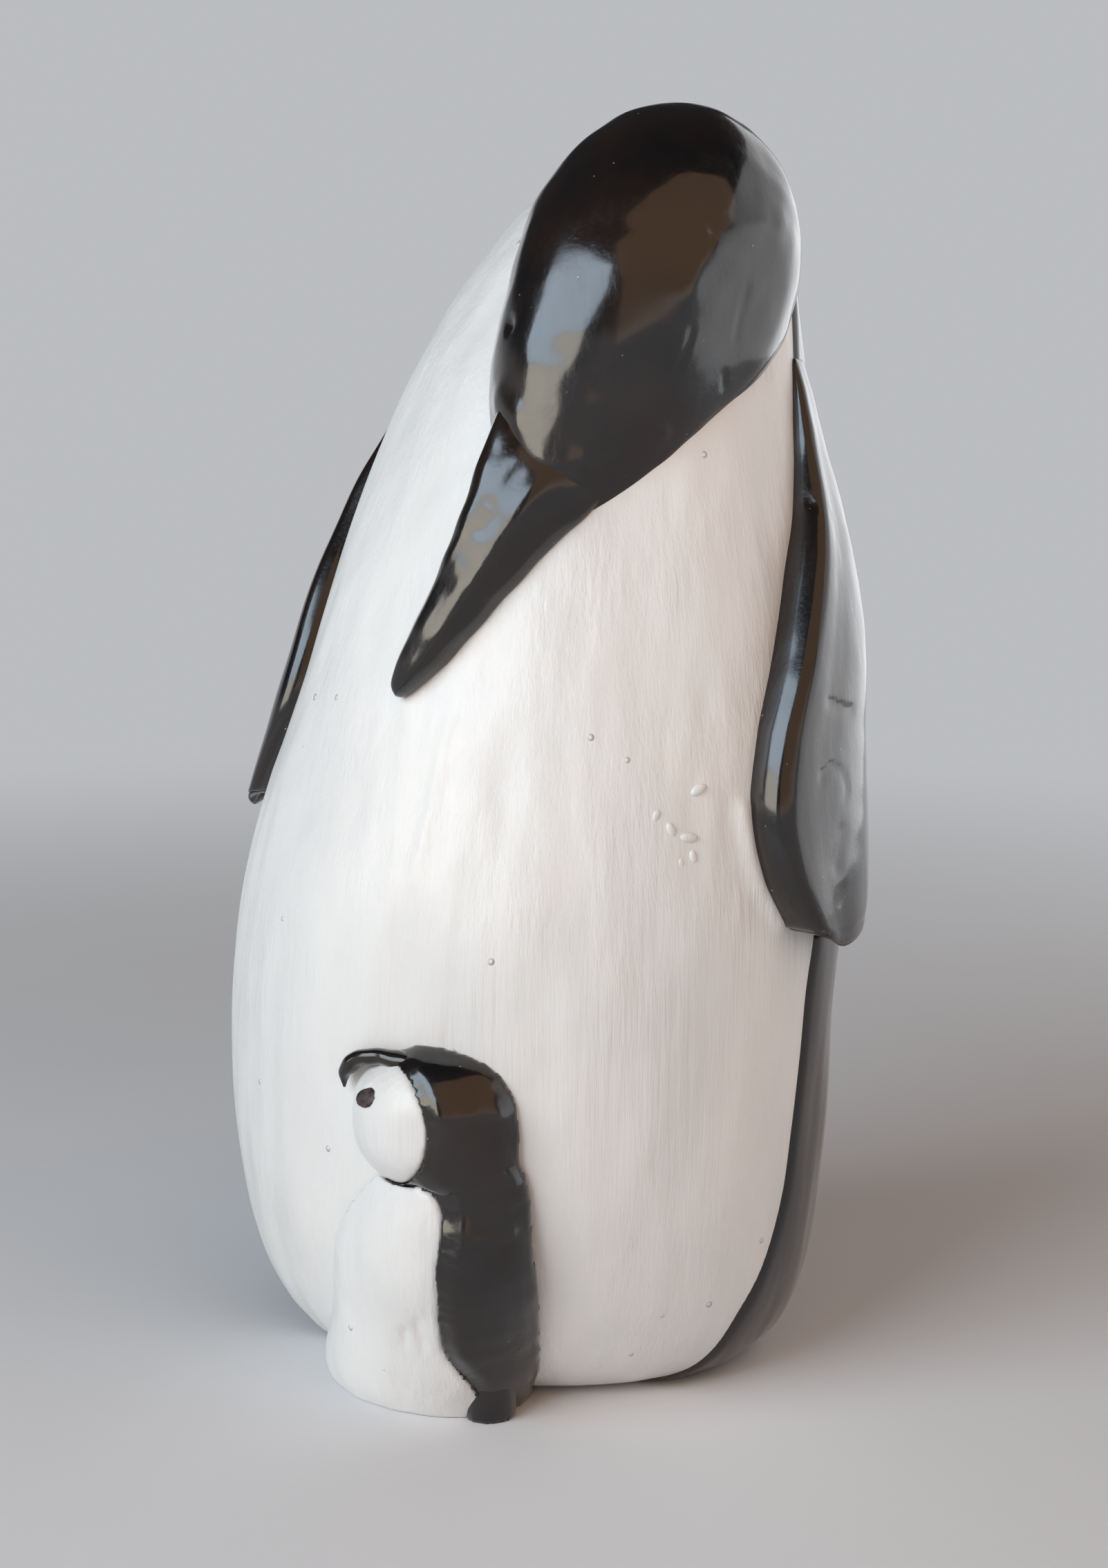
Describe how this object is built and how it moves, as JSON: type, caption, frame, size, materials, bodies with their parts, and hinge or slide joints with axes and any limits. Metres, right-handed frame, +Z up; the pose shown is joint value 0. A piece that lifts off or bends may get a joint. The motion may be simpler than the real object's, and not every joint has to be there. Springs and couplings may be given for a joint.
{
  "type": "penguin figurine",
  "caption": "Painted clay figurine of a black and white mother penguin that bows its head to a chick at its feet.",
  "frame": {"origin": "middle of the flat base, on the surface that the figurine stands on", "axes": "+Z up, -Y towards the front of the mother's breast, +X towards the mother's own left"},
  "size_m": [0.0584, 0.0535, 0.1093],
  "materials": {
    "white_paint": "satin white paint with brush strokes",
    "black_paint": "gloss black varnished paint",
    "eye_paint": "dark brown paint"
  },
  "bodies": {
    "root": {"torso": "white_paint", "back_mantle": "black_paint", "hood": "black_paint", "beak": "black_paint", "left_flipper": "black_paint", "right_flipper": "black_paint", "chick_body": "white_paint", "chick_mantle": "black_paint", "chick_tail": "black_paint", "chick_face": "white_paint", "chick_hood": "black_paint", "chick_beak": "black_paint", "chick_eye": "eye_paint"}
  },
  "joints": []
}
